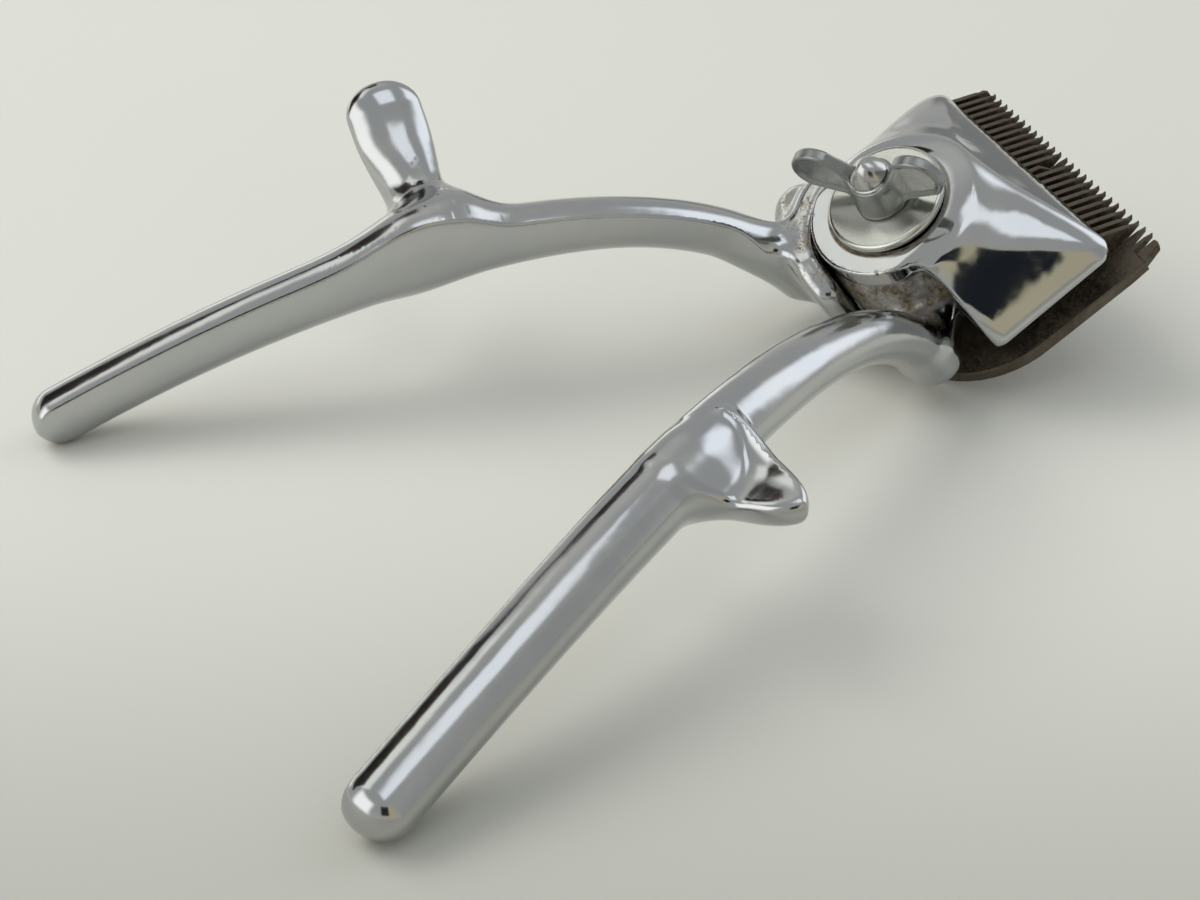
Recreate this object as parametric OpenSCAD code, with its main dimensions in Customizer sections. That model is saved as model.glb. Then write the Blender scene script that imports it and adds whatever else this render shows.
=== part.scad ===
// Hand-squeezed hair clipper: two cast handles, a fan-shaped cap, a fixed comb and a sliding cutter.
// Everything is drawn in the head's own frame: the comb's sliding face is z = 0, the teeth point
// along +X and the stud stands on the Z axis. at_rest() then lays the clipper on its surface,
// where it rests on the comb's heel and on the ends of both handles.

/* [Comb and cutter] */
// Width of the comb plate over its two guard teeth
comb_w = 44; // [40:1:48]
// Number of narrow teeth between the guard teeth
teeth = 26; // [20:1:30]
// Distance of the tooth points in front of the stud
reach_front = 25; // [24:0.5:28]
// Length of the open part of a comb tooth
tooth_len = 3.6; // [3:0.1:4.2]
// Width of a comb tooth at its root
tooth_w = 0.86; // [0.7:0.02:1]
// Thickness of the comb plate
comb_t = 2.4; // [2:0.1:3]
// Thickness of the comb at the tooth points
comb_tip_t = 0.8; // [0.5:0.1:1.2]
// Radius of the two round shoulders of the comb's heel
heel_r = 16; // [14:0.5:17]
// Thickness of the cutter over its toothed bar
cutter_t = 4.9; // [4:0.1:5.2]
// Thickness of the cutter at the back
cutter_back_t = 2.6; // [2:0.1:2.8]
// Depth of the cutter from its teeth to its back edge
cutter_depth = 16.8; // [15:0.2:17.4]

/* [Head] */
// Radius of the finger handle's hub
hub_r = 12; // [11.5:0.25:12.5]
// Height of the hub
hub_h = 11.7; // [11:0.1:12.5]
// Radius of the stud's shank
stud_r = 2.8; // [2.4:0.1:3.2]
// Thickness of the casting's base plate on the comb
base_t = 3; // [2.6:0.1:3.4]
// Thickness of the cup wall around the hub
cup_wall = 4; // [3:0.25:4.5]
// Height of the cup's rim above the comb's sliding face
cup_top = 12.4; // [10:0.2:13.5]

/* [Cap] */
// Width of the cap across its lip
cap_w = 43.6; // [40:0.4:46]
// Distance of the cap's front edge in front of the stud
cap_front = 18.7; // [18:0.1:20]
// Distance of the cap's back edge behind the stud
cap_back = 2; // [0:0.5:4]
// Radius of the round plateau
plateau_r = 11.8; // [11:0.2:12.4]
// Thickness of the cap's wall
cap_wall = 1.5; // [1.2:0.1:1.8]
// Height of the plateau's upright rim
plateau_rim = 3.2; // [2.6:0.1:4]

/* [Washer and wing nut] */
// Radius of the round tension washer
washer_r = 8.6; // [7.5:0.1:9.5]
// Thickness of the tension washer
washer_t = 1.4; // [1:0.1:2]
// Radius of the wing nut's foot
nut_r = 3.9; // [3.6:0.1:4.5]
// Span of the wing nut over its wings
wing_span = 23; // [18:0.5:26]
// Direction of the wings, turned from the head's middle line
wing_turn = -56; // [-90:2:90]

/* [Handles] */
// Distance of a handle's end behind the stud
handle_reach = 103; // [85:1:115]
// Height of a handle's end above the comb's sliding face
handle_rise = 69; // [58:1:76]
// Sideways distance of a handle's end from the middle line
handle_spread = 23; // [18:0.5:28]
// Radius of a handle at its end
tip_r = 4; // [3.6:0.1:4.8]
// Half width of a handle at its thickest
grip_half_w = 4.1; // [3.8:0.1:5]
// Half height of a handle at its thickest
grip_half_h = 4.6; // [4:0.1:5.4]
// Radius of a handle where it leaves the head
root_r = 3.6; // [3.2:0.1:4.2]
// Angle between the open finger handle and the mirror image of the thumb handle
open_angle = 23.5; // [19:0.5:27]
// Swing of the finger handle from open to closed
swing = 18; // [12:1:20]

/* [Tangs] */
// Length of the thumb tang
thumb_len = 24; // [18:0.5:27]
// Half width of the thumb tang's paddle
thumb_half_w = 5.8; // [4.5:0.1:7]
// Length of the finger tang
finger_len = 12; // [9:0.5:16]
// Half width of the finger tang near its end
finger_half_w = 4; // [3.5:0.1:5.5]

/* [Hidden] */
$fn = 64;

// Clearances
run_gap = 0.05;      // radial play of a running fit
slide_gap = 0.05;    // play between faces that slide on each other
face_gap = 0.03;     // play between flat faces that turn on each other
wide_gap = 0.35;     // space between parts that pass without touching
blind = 0.4;         // metal left at the closed end of a blind hole
pin_gap = 0.2;       // space over the free end of a pin
over = 1;            // how far a cutting shape runs past the face that it cuts

// Heights above the comb's sliding face, from the bottom up
washer_low_t = 0.5;
hub_z = base_t + washer_low_t + face_gap;
hub_top = hub_z + hub_h;
dust_t = 0.6;
dust_z = hub_top + face_gap;
plateau_z = dust_z + dust_t;
cap_top = plateau_z + plateau_rim;
lip_z = cutter_t + slide_gap;
lip_h = 1.2;
nut_z = cap_top + washer_t + face_gap;

// Comb
guard_tooth_w = 2;
pitch = (comb_w - 2 * guard_tooth_w) / teeth;
slot_w = pitch - tooth_w;
root_x = reach_front - tooth_len;
guard_taper = 0.9;
guard_w = 0.4;
cheek_len = 3;
slot_flare = 0.34;
comb_bevel = 8;
heel_back = 12;
heel_x = heel_r - heel_back;
heel_y = comb_w / 2 - heel_r;

// Cutter and its drive
cutter_teeth = teeth - 1;
cutter_w = cutter_teeth * pitch;
cutter_set_back = 0.6;
cutter_tip_x = reach_front - cutter_set_back;
cutter_back_x = cutter_tip_x - cutter_depth;
cutter_tip_t = 0.9;
cutter_slot_flare = 0.2;
cutter_slot_run = 0.6;
cutter_corner_r = 6;
bevel_x = cap_front - 0.1;
bar_t = 1.5;
bar_x = bevel_x - bar_t;
bar_step = 0.6;
tail_r = 14;
roller_r = 2;
roller_hole_r = 1.1;
pin_r = roller_hole_r - run_gap;
tail_open = swing / 2;
open_shift = tail_r * sin(tail_open);
tail_root_w = 5;
tail_tip_r = 2.1;
tail_t = 2.9;
tail_lift = 0.2;
drive_slot_x = tail_r * cos(tail_open);
slot_end_gap = 0.4;

// Hub, web, bush and spring
hub_merge = 0.5;
web_z = 1.4;
web_drop = 3;
web_r = 1.6;
web_in = 2;
web_turns = [-8, 12];
bush_r = stud_r + 1.6;
boss_r = bush_r + 1;
recess_wall = 2.2;
recess_r = hub_r - recess_wall;
recess_h = 6.9;
coil_out = 0.1;
coil_r = (boss_r + recess_r) / 2 + coil_out;
wire_r = 0.6;
coil_turns = 3.25;
coil_pitch = 1.45;
coil_z = hub_z + 1.1;
coil_start = 220;
coil_step = 15;
wire_step = 45;
post_r = 0.8;
post_h = 1.6;
leg_out = 0.7;
leg_end_r = coil_r + leg_out;
leg_len = sqrt(pow(leg_end_r, 2) - pow(coil_r, 2));
leg_turn = atan(leg_len / coil_r);
post_turn = 9;
lug_gap = 4;
lug_turn = 16;
lug_h = 1.5;
lug_in = 1.1;
lug_r = coil_r - lug_in;

// Stops: a pin in the base plate stands in an arc cut in the hub's rim
stop_pin_r = 0.9;
stop_ring_r = hub_r - 1.1;
stop_room = 0.15;
stop_wall_gap = 0.3;
stop_at = 100;
stop_h = 2.4;

// Fastenings of the comb
screw_r = 1.5;
screw_head_r = 2.9;
screw_head_h = 1.5;
screw_x = 2;
screw_y = 9.4;
screw_slot_w = 0.6;
screw_slot_h = 0.6;
dowel_r = 1;
dowel_x = -8.6;
dowel_y = 6.2;
stud_head_r = stud_r + 1.8;
stud_head_t = 1.6;

// Base plate, cup and cap key
base_half_w = hub_r + 0.8;
base_back = hub_r + 0.5;
base_front = 6.6;
base_round = 2;
ear_x = -9;
ear_r = 4.6;
ear_out = 3.2;
ear_rise = 0.77;
ear_y = max(hub_r + ear_out, sqrt(pow(plateau_r + wide_gap + ear_r, 2) - pow(ear_x, 2)));
ear_top = hub_top + ear_rise;
cup_from = 102;
cup_to = 191;
key_x = 3.5;
key_r = 1.9;
key_out = 2.9;
key_y = max(hub_r + key_out, plateau_r + wide_gap + key_r);
key_arm_r = 2.3;
key_arm_x = -3;
key_rise = 2.25;
key_top = lip_z + key_rise;
key_pin_r = 1.1;
key_pin_in = 4;
key_pin_out = 1.4;

// Cap corners and edges
cap_front_r = 3.6;
cap_back_r = 1.6;
crown_t = 0.2;
crown_in = 0.6;
crown_lap = 0.55;
crown_r = max(plateau_r, hub_r + wide_gap - crown_lap);
lip_inset_fall = 0.4;
rim_bevel = 0.4;
dust_in = 0.4;

// Wing nut and stud end
washer_bevel = 0.3;
nut_foot_h = 1.2;
nut_h = 4.6;
nut_neck_wall = 0.4;
nut_neck_r = stud_r + nut_neck_wall;
wing_rise = 6.6;
wing_z = nut_z + wing_rise;
wing_r = 3.6;
wing_t = 1.8;
wing_tip_t = 0.8 * wing_t;
wing_root_r = 1;
wing_root_z = 1.6;
wing_neck_r = 0.9;
wing_neck_z = 4;
stud_dome_z = nut_z + 5.6;
stud_collar_z = stud_dome_z - 0.9;
stud_neck_r = stud_r - 0.6;
stud_neck_h = 0.7;

// Handle curve: control points behind, beside and above the stud
handle_root = [hub_r + 3, hub_r - 0.5, 7.8];
handle_lift = [20, 14, 36];
handle_elbow = [50, handle_spread - 1, 0.79 * handle_rise];
handle_path = [handle_root, handle_lift, handle_elbow, [handle_reach, handle_spread, handle_rise]];
swell_from = 0.28;
swell_len = 0.4;
thin_from = 0.62;
grip_square = 0.5;
handle_steps = 22;
dome_steps = 4;
dome_turn = 86;
round_section = 2;
sides = 24;

// A point at t on the cubic curve with control points p
function curve(p, t) = pow(1 - t, 3) * p[0] + 3 * t * pow(1 - t, 2) * p[1]
    + 3 * t * t * (1 - t) * p[2] + pow(t, 3) * p[3];
function slope(p, t) = 3 * pow(1 - t, 2) * (p[1] - p[0]) + 6 * t * (1 - t) * (p[2] - p[1])
    + 3 * t * t * (p[3] - p[2]);
function unit(v) = v / norm(v);
function mix(a, b, t) = a + (b - a) * t;
function smooth(t) = t * t * (3 - 2 * t);
function signed_pow(x, e) = sign(x) * pow(abs(x), e);

// A closed ring of points about c: half width a along u, half height b along v,
// round at roundness 2 and squarer above it
function ring(c, u, v, a, b, squareness = round_section) =
    [for (i = [0 : sides - 1]) let (w = 360 * i / sides)
        c + u * a * signed_pow(cos(w), 2 / squareness) + v * b * signed_pow(sin(w), 2 / squareness)];

// Rings that close an end with a round dome of the given depth, pointing along d
function dome(c, d, u, v, a, b, depth, inward = false) =
    [for (k = [1 : dome_steps]) let (j = inward ? dome_steps + 1 - k : k, w = dome_turn * j / dome_steps)
        ring(c + d * depth * sin(w), u, v, a * cos(w), b * cos(w))];

// Solid skin over a list of rings
module skin(rings) {
    n = len(rings[0]);
    m = len(rings);
    points = [for (r = rings) for (p = r) p];
    walls = [for (j = [0 : m - 2]) for (i = [0 : n - 1]) let (k = (i + 1) % n)
        each [[j * n + i, (j + 1) * n + i, (j + 1) * n + k], [j * n + i, (j + 1) * n + k, j * n + k]]];
    first = [for (i = [1 : n - 2]) [0, i, i + 1]];
    last = [for (i = [1 : n - 2]) [(m - 1) * n, (m - 1) * n + i + 1, (m - 1) * n + i]];
    polyhedron(points, concat(walls, first, last), convexity = 6);
}

// Handle cross-sections along t, in the thumb handle's place: x forward, y to the thumb side
function flip_x(p) = [-p[0], p[1], p[2]];
function handle_at(t) = flip_x(curve(handle_path, t));
function handle_dir(t) = unit(flip_x(slope(handle_path, t)));
function handle_side(t) = unit(cross([0, 0, 1], handle_dir(t)));
function handle_up(t) = cross(handle_dir(t), handle_side(t));
function swell(t) = smooth(min(1, max(0, (t - swell_from) / swell_len)));
function thin(t) = smooth(max(0, (t - thin_from) / (1 - thin_from)));
function half_w(t) = mix(mix(root_r, grip_half_w, swell(t)), tip_r, thin(t));
function half_h(t) = mix(mix(root_r, grip_half_h, swell(t)), tip_r, thin(t));
function handle_rings() = concat(
    dome(handle_at(0), -handle_dir(0), handle_side(0), handle_up(0), root_r, root_r, root_r, true),
    [for (k = [0 : handle_steps]) let (t = k / handle_steps)
        ring(handle_at(t), handle_side(t), handle_up(t), half_w(t), half_h(t),
            round_section + grip_square * swell(t) * (1 - thin(t)))],
    dome(handle_at(1), handle_dir(1), handle_side(1), handle_up(1), tip_r, tip_r, tip_r));

// Both tangs narrow to a neck and widen again towards the end
tang_neck_w = 5;
tang_neck_at = 0.35;
tang_wide_len = 0.45;
tang_dome = 0.8;
tang_steps = 9;
function tang_w(t, root, wide) = t < tang_neck_at ? mix(root, tang_neck_w, smooth(t / tang_neck_at))
    : mix(tang_neck_w, wide, smooth(min(1, (t - tang_neck_at) / tang_wide_len)));
function tang_rings(path, wide, root_w, end_w, root_t, end_t, steps) =
    let (p1 = curve(path, 1), d1 = unit(slope(path, 1)), u1 = unit(wide - d1 * (wide * d1)))
    concat([for (k = [0 : steps]) let (t = k / steps, d = unit(slope(path, t)),
                u = unit(wide - d * (wide * d)))
        ring(curve(path, t), u, cross(d, u), tang_w(t, root_w, end_w), mix(root_t, end_t, t))],
    dome(p1, d1, u1, cross(d1, u1), end_w, end_t, end_w * tang_dome));

// Thumb tang: a paddle that leaves the handle's outer side
thumb_t = 0.61;
thumb_root_w = 9;
thumb_root_t = 3.6;
thumb_end_t = 2;
thumb_root = handle_at(thumb_t);
thumb_wide = handle_dir(thumb_t);
thumb_out = unit([0.28, 0.9, 0.36]);
thumb_path = [thumb_root, thumb_root + 0.45 * thumb_len * unit(thumb_out - [0.1, 0, 0.25]),
              thumb_root + 0.75 * thumb_len * unit(thumb_out - [0.05, 0, 0.1]),
              thumb_root + thumb_len * thumb_out];
function thumb_tang_rings() =
    tang_rings(thumb_path, thumb_wide, thumb_root_w, thumb_half_w, thumb_root_t, thumb_end_t, tang_steps);

// Finger tang: a short hook on the finger handle's outer side
finger_t = 0.6;
finger_root_w = 7;
finger_root_t = 4;
finger_end_t = 2.6;
finger_root = handle_at(finger_t);
finger_wide = handle_dir(finger_t);
finger_out = unit([-0.27, 0.96, 0]);
finger_path = [finger_root, finger_root + 0.4 * finger_len * unit(finger_out + [0.15, 0, 0.2]),
               finger_root + 0.75 * finger_len * unit(finger_out + [0.1, 0, 0.15]),
               finger_root + finger_len * finger_out];
function finger_tang_rings() =
    tang_rings(finger_path, finger_wide, finger_root_w, finger_half_w, finger_root_t, finger_end_t,
        tang_steps);

// Resting attitude: the plane that touches the heel and both handle ends
function turned(p, a) = [p[0] * cos(a) - p[1] * sin(a), p[0] * sin(a) + p[1] * cos(a), p[2]];
function flip_y(p) = [p[0], -p[1], p[2]];
thumb_end = handle_at(1);
finger_end = turned(flip_y(handle_at(1)), open_angle);
function flat(v) = unit([v[0], v[1], 0]);
function heel_point(n) = [heel_x, -heel_y, -comb_t] - heel_r * flat(n);
function plane_through(h, a, b) = unit(cross(a - h, b - h));
function settle(n, k) = k == 0 ? n
    : settle(plane_through(heel_point(n), thumb_end - tip_r * n, finger_end - tip_r * n), k - 1);
first_guess = unit([0.6, 0.1, 0.8]);
settle_steps = 12;
up = settle(first_guess, settle_steps);
rest_pitch = atan2(up[0], up[2]);
rest_roll = asin(up[1]);
function pitched(p) = [p[0] * cos(rest_pitch) - p[2] * sin(rest_pitch), p[1],
    p[0] * sin(rest_pitch) + p[2] * cos(rest_pitch)];
function rolled(p) = [p[0], p[1] * cos(rest_roll) - p[2] * sin(rest_roll),
    p[1] * sin(rest_roll) + p[2] * cos(rest_roll)];
function rested(p) = rolled(pitched(p));
thumb_tang_points = [for (r = thumb_tang_rings()) for (p = r) rested(p)];
x_max = max([for (s = [-1, 1]) rested([reach_front, s * (comb_w / 2 - guard_taper), 0])[0]]);
x_min = rested(thumb_end)[0] - tip_r;
y_max = max([for (p = thumb_tang_points) p[1]]);
y_min = rested(finger_end)[1] - tip_r;
rest_shift = [-(x_max + x_min) / 2, -(y_max + y_min) / 2, -rested(heel_point(up))[2]];

// Lays the clipper on its surface, with the origin under the middle of its outline
module at_rest() {
    translate(rest_shift) rotate([rest_roll, 0, 0]) rotate([0, -rest_pitch, 0]) children();
}

// Puts a shape that is drawn for the thumb side in the open finger handle's place
module finger_side() {
    rotate([0, 0, open_angle]) mirror([0, 1, 0]) children();
}

module tube(r_in, r_out, h) {
    difference() {
        cylinder(r = r_out, h = h);
        translate([0, 0, -over]) cylinder(r = r_in, h = h + 2 * over);
    }
}

// Ring sector between two angles
module sector(r_in, r_out, from, to, h) {
    rotate([0, 0, from]) rotate_extrude(angle = to - from) translate([r_in, 0]) square([r_out - r_in, h]);
}

module comb_screw_places() {
    for (s = [-1, 1]) translate([screw_x, s * screw_y, 0]) children();
}

module comb_dowel_places() {
    for (s = [-1, 1]) translate([dowel_x, s * dowel_y, 0]) children();
}

// Slots between teeth: narrow and round at the root, wide at the points
module tooth_slots(count, x_root, x_tip, w_root, w_tip) {
    for (i = [0 : count - 1]) translate([0, (i - (count - 1) / 2) * pitch])
        union() {
            polygon([[x_root, -w_root / 2], [x_tip, -w_tip / 2], [x_tip, w_tip / 2], [x_root, w_root / 2]]);
            translate([x_root, 0]) circle(d = w_root, $fn = 24);
        }
}

// Fixed casting: base plate on the comb, cup around the hub, handle and thumb tang
module thumb_handle() {
    color("silver") at_rest() difference() {
        union() {
            casting_base();
            sector(hub_r + wide_gap, hub_r + wide_gap + cup_wall, cup_from, cup_to, cup_top);
            cap_key();
            casting_ear();
            skin(handle_rings());
            skin(thumb_tang_rings());
        }
        translate([0, 0, base_t]) cylinder(r = hub_r + wide_gap, h = hub_h + 3);
        translate([0, 0, -over]) cylinder(r = stud_r, h = base_t + 2 * over);
        translate([0, 0, -over]) cylinder(r = stud_head_r, h = stud_head_t + over);
        comb_screw_places() translate([0, 0, -over]) cylinder(r = screw_r, h = base_t + 2 * over);
        comb_dowel_places() translate([0, 0, -over]) cylinder(r = dowel_r, h = base_t + over - blind);
        stop_place() translate([0, 0, blind]) cylinder(r = stop_pin_r, h = base_t);
        post_place() translate([0, 0, blind]) cylinder(r = post_r, h = base_t);
        translate([key_x, key_y, key_top - key_pin_in]) cylinder(r = key_pin_r, h = key_pin_in + over);
    }
}

module casting_base() {
    linear_extrude(base_t) {
        intersection() {
            translate([-base_back - over, -base_half_w])
                square([base_back + base_front + over, 2 * base_half_w]);
            circle(r = base_back + base_round);
        }
    }
}

// Round-topped ear beside the plateau, where the thumb handle joins the cup
module casting_ear() {
    x = [1, 0, 0];
    y = [0, 1, 0];
    shoulder = [ear_x, ear_y, ear_top - ear_r];
    skin(concat([ring([ear_x, ear_y, 0], x, y, ear_r, ear_r), ring(shoulder, x, y, ear_r, ear_r)],
        dome(shoulder, [0, 0, 1], x, y, ear_r, ear_r, ear_r)));
}

// Arm and pillar under the cap: the dowel on the pillar keeps the cap from turning with the nut
module cap_key() {
    linear_extrude(base_t) hull() {
        translate([key_x, key_y]) circle(r = key_arm_r);
        translate([key_x, base_half_w - key_arm_r]) circle(r = key_arm_r);
        translate([key_arm_x, base_half_w]) circle(r = key_arm_r);
    }
    translate([key_x, key_y, 0]) cylinder(r = key_r, h = key_top);
}

// Lower plate: a straight-sided front with fine teeth and a round heel
module comb_plate() {
    color("saddlebrown") at_rest() difference() {
        intersection() {
            translate([0, 0, -comb_t]) linear_extrude(comb_t) comb_outline();
            rotate([90, 0, 0]) linear_extrude(comb_w + 2 * over, center = true) comb_side();
        }
        translate([0, 0, -comb_t - over]) linear_extrude(comb_t + 2 * over)
            tooth_slots(teeth + 1, root_x, reach_front + over, slot_w, slot_w + slot_flare);
        comb_screw_places() translate([0, 0, -comb_t - over])
            cylinder(r = screw_r, h = comb_t + 2 * over);
        comb_screw_places() translate([0, 0, -comb_t])
            cylinder(r1 = screw_head_r, r2 = screw_r, h = screw_head_h);
        comb_dowel_places() translate([0, 0, -comb_t - over]) cylinder(r = dowel_r, h = comb_t + 2 * over);
    }
}

module comb_outline() {
    w = comb_w / 2;
    tip_y = w - guard_taper;
    hull() for (s = [-1, 1]) translate([heel_x, s * heel_y]) circle(r = heel_r);
    polygon([[heel_x, -w], [root_x - cheek_len, -w - guard_w], [reach_front - guard_w, -tip_y - guard_w],
             [reach_front, -tip_y], [reach_front, tip_y],
             [reach_front - guard_w, tip_y + guard_w], [root_x - cheek_len, w + guard_w], [heel_x, w]]);
}

module comb_side() {
    back = -heel_back - over;
    polygon([[back, 0], [back, -comb_t], [reach_front - comb_bevel, -comb_t],
             [reach_front, -comb_tip_t], [reach_front, 0]]);
}

module comb_screws() {
    color("dimgray") at_rest() comb_screw_places() difference() {
        translate([0, 0, -comb_t]) union() {
            cylinder(r1 = screw_head_r, r2 = screw_r, h = screw_head_h);
            cylinder(r = screw_r, h = comb_t + base_t - blind);
        }
        translate([-screw_head_r, -screw_slot_w / 2, -comb_t - over])
            cube([2 * screw_head_r, screw_slot_w, screw_slot_h + over]);
    }
}

module comb_dowels() {
    color("gray") at_rest() comb_dowel_places()
        translate([0, 0, -comb_t]) cylinder(r = dowel_r, h = comb_t + base_t - blind);
}

// Stud: flat head under the base plate, plain shank, and a necked round knob above the wing nut
module pivot_stud() {
    color("gainsboro") at_rest() {
        cylinder(r = stud_head_r, h = stud_head_t);
        cylinder(r = stud_r, h = stud_collar_z);
        cylinder(r = stud_neck_r, h = stud_dome_z);
        translate([0, 0, stud_collar_z + stud_neck_h])
            cylinder(r = stud_r, h = stud_dome_z - stud_collar_z - stud_neck_h);
        translate([0, 0, stud_dome_z]) sphere(r = stud_r);
    }
}

module stop_place() {
    rotate([0, 0, stop_at]) translate([stop_ring_r, 0, 0]) children();
}

module stop_pin() {
    color("gray") at_rest() stop_place() translate([0, 0, blind])
        cylinder(r = stop_pin_r, h = hub_z + stop_h - pin_gap - blind);
}

// The spring's lower leg runs straight on from the coil and ends beside this post
module post_place() {
    rotate([0, 0, coil_start - leg_turn - post_turn]) translate([leg_end_r, 0, 0]) children();
}

module spring_post() {
    color("gray") at_rest() post_place() translate([0, 0, blind])
        cylinder(r = post_r, h = hub_z + post_h - blind);
}

module lower_washer() {
    color("darkgoldenrod") at_rest() translate([0, 0, base_t]) tube(stud_r + run_gap, boss_r, washer_low_t);
}

// Moving casting: hub, driving tail, web, handle and finger tang
module finger_handle() {
    color("silver") at_rest() difference() {
        union() {
            translate([0, 0, hub_z]) cylinder(r = hub_r, h = hub_h);
            driving_tail();
            finger_web();
            difference() {
                union() {
                    finger_side() skin(handle_rings());
                    finger_side() skin(finger_tang_rings());
                }
                cylinder(r = hub_r - hub_merge, h = 3 * hub_h);
            }
        }
        translate([0, 0, hub_z - over]) cylinder(r = bush_r, h = hub_h + 2 * over);
        spring_recess();
        stop_slot();
        drive_place() translate([0, 0, hub_z - over]) cylinder(r = pin_r, h = tail_t + 3 * over);
    }
}

// Ring-shaped room for the spring, with a lug under its roof that the spring's upper leg pushes
module spring_recess() {
    from = coil_start + 360 * coil_turns + leg_turn + lug_gap;
    difference() {
        translate([0, 0, hub_z - over]) tube(boss_r, recess_r, recess_h + over);
        translate([0, 0, hub_z + recess_h - lug_h])
            sector(lug_r, recess_r + over, from, from + lug_turn, lug_h + over);
    }
}

module driving_tail() {
    rotate([0, 0, tail_open]) translate([0, 0, hub_z + tail_lift]) linear_extrude(tail_t) hull() {
        translate([hub_r - tail_root_w - over, 0]) circle(r = tail_root_w);
        translate([tail_r, 0]) circle(r = tail_tip_r);
    }
}

// Web between the hub and the root of the handle
module finger_web() {
    root = turned(flip_y(handle_at(0)), open_angle);
    root_turn = atan2(root[1], root[0]);
    translate([0, 0, hub_z + web_z]) linear_extrude(hub_h - web_z - web_drop) hull() {
        translate([root[0], root[1]]) circle(r = root_r - web_z);
        for (a = web_turns) rotate([0, 0, root_turn + a]) translate([hub_r - web_in, 0]) circle(r = web_r);
    }
}

// Arc in the hub's rim that the stop pin stands in
module stop_slot() {
    play = asin((stop_pin_r + stop_room) / stop_ring_r);
    inner_r = stop_ring_r - stop_pin_r - stop_wall_gap;
    translate([0, 0, hub_z - over])
        sector(inner_r, hub_r + over, stop_at - play, stop_at + swing + play, stop_h + over);
}

module hub_bush() {
    color("goldenrod") at_rest() translate([0, 0, hub_z]) tube(stud_r + run_gap, bush_r, hub_h);
}

module drive_place() {
    rotate([0, 0, tail_open]) translate([tail_r, 0, 0]) children();
}

module drive_pin() {
    color("gray") at_rest() drive_place() translate([0, 0, blind])
        cylinder(r = pin_r, h = hub_z + tail_lift + tail_t - blind);
}

module drive_roller() {
    color("gray") at_rest() drive_place() translate([0, 0, blind])
        tube(roller_hole_r, roller_r, hub_z - pin_gap - blind);
}

// Torsion spring in the hub's recess, with one straight leg at each end
function coil_point(a) = [coil_r * cos(a), coil_r * sin(a), coil_z + coil_pitch * (a - coil_start) / 360];
function coil_dir(a) = unit([-coil_r * sin(a), coil_r * cos(a), coil_pitch / (2 * PI)]);
function wire_ring(c, d) = let (side = unit(cross(d, [0, 0, 1])))
    [for (w = [0 : wire_step : 359]) c + wire_r * (side * cos(w) + cross(d, side) * sin(w))];
module return_spring() {
    last = coil_start + 360 * coil_turns;
    first_dir = coil_dir(coil_start);
    last_dir = coil_dir(last);
    color("darkgray") at_rest() skin(concat(
        [wire_ring(coil_point(coil_start) - leg_len * first_dir, first_dir)],
        [for (a = [coil_start : coil_step : last]) wire_ring(coil_point(a), coil_dir(a))],
        [wire_ring(coil_point(last) + leg_len * last_dir, last_dir)]));
}

// Upper plate: toothed bar with a bevelled front, and a slot for the drive roller
module cutter_plate() {
    color("saddlebrown") at_rest() translate([0, open_shift, slide_gap]) difference() {
        rotate([90, 0, 0]) linear_extrude(cutter_w, center = true) cutter_side();
        translate([0, 0, -over]) linear_extrude(cutter_t + 2 * over)
            tooth_slots(cutter_teeth - 1, bevel_x - cutter_slot_run, cutter_tip_x + over,
                slot_w, slot_w + cutter_slot_flare);
        translate([drive_slot_x - roller_r - slot_end_gap, -roller_r - run_gap, -over])
            cube([2 * (roller_r + slot_end_gap), 2 * (roller_r + run_gap), cutter_t + 2 * over]);
        for (s = [-1, 1]) translate([cutter_back_x - over, s * cutter_w / 2, -over])
            cylinder(r = cutter_corner_r, h = cutter_t + 2 * over);
    }
}

module cutter_side() {
    t = cutter_t - slide_gap;
    polygon([[cutter_back_x, 0], [cutter_tip_x, 0], [cutter_tip_x, cutter_tip_t], [bevel_x, t],
             [bar_x, t], [bar_x - bar_step, cutter_back_t], [cutter_back_x, cutter_back_t]]);
}

module dust_washer() {
    color("gray") at_rest() translate([0, 0, dust_z]) tube(stud_r + run_gap, plateau_r - dust_in, dust_t);
}

// Cap: a fan-shaped hood under a round plateau
module cap() {
    color("gainsboro") at_rest() difference() {
        union() {
            translate([0, 0, plateau_z]) cylinder(r = plateau_r, h = plateau_rim - rim_bevel);
            translate([0, 0, cap_top - rim_bevel])
                cylinder(r1 = plateau_r, r2 = plateau_r - rim_bevel, h = rim_bevel);
            difference() {
                hood(0);
                hood(cap_wall);
                translate([-2 * cap_w - cap_back, -cap_w, 0]) cube([2 * cap_w, 2 * cap_w, cap_top]);
                cylinder(r = hub_r + wide_gap, h = hub_top + pin_gap);
                cylinder(r = plateau_r - dust_in + pin_gap, h = plateau_z);
                translate([key_x, key_y, 0]) cylinder(r = key_r + pin_gap, h = key_top + slide_gap);
            }
            intersection() {
                translate([key_x, key_y, key_top + slide_gap]) cylinder(r = key_r, h = plateau_z);
                hood(0);
            }
        }
        translate([0, 0, plateau_z - over]) cylinder(r = stud_r + run_gap, h = plateau_rim + 2 * over);
        translate([key_x, key_y, key_top - over]) cylinder(r = key_pin_r, h = over + key_pin_out);
    }
}

// Hood outside at inset 0, hood inside at a larger inset
module hood(inset) {
    drop = inset > 0 ? over : 0;
    hull() {
        translate([0, 0, lip_z - drop]) linear_extrude(lip_h + drop - inset * lip_inset_fall)
            lip_outline(inset);
        translate([0, 0, plateau_z + crown_in - inset]) cylinder(r = crown_r - inset, h = crown_t);
    }
}

module lip_outline(inset) {
    w = cap_w / 2;
    hull() for (s = [-1, 1]) {
        translate([cap_front - cap_front_r, s * (w - cap_front_r)])
            circle(r = cap_front_r - inset, $fn = 32);
        translate([cap_back_r - cap_back, s * (w - cap_back_r)])
            circle(r = cap_back_r - inset, $fn = 32);
    }
}

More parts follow.
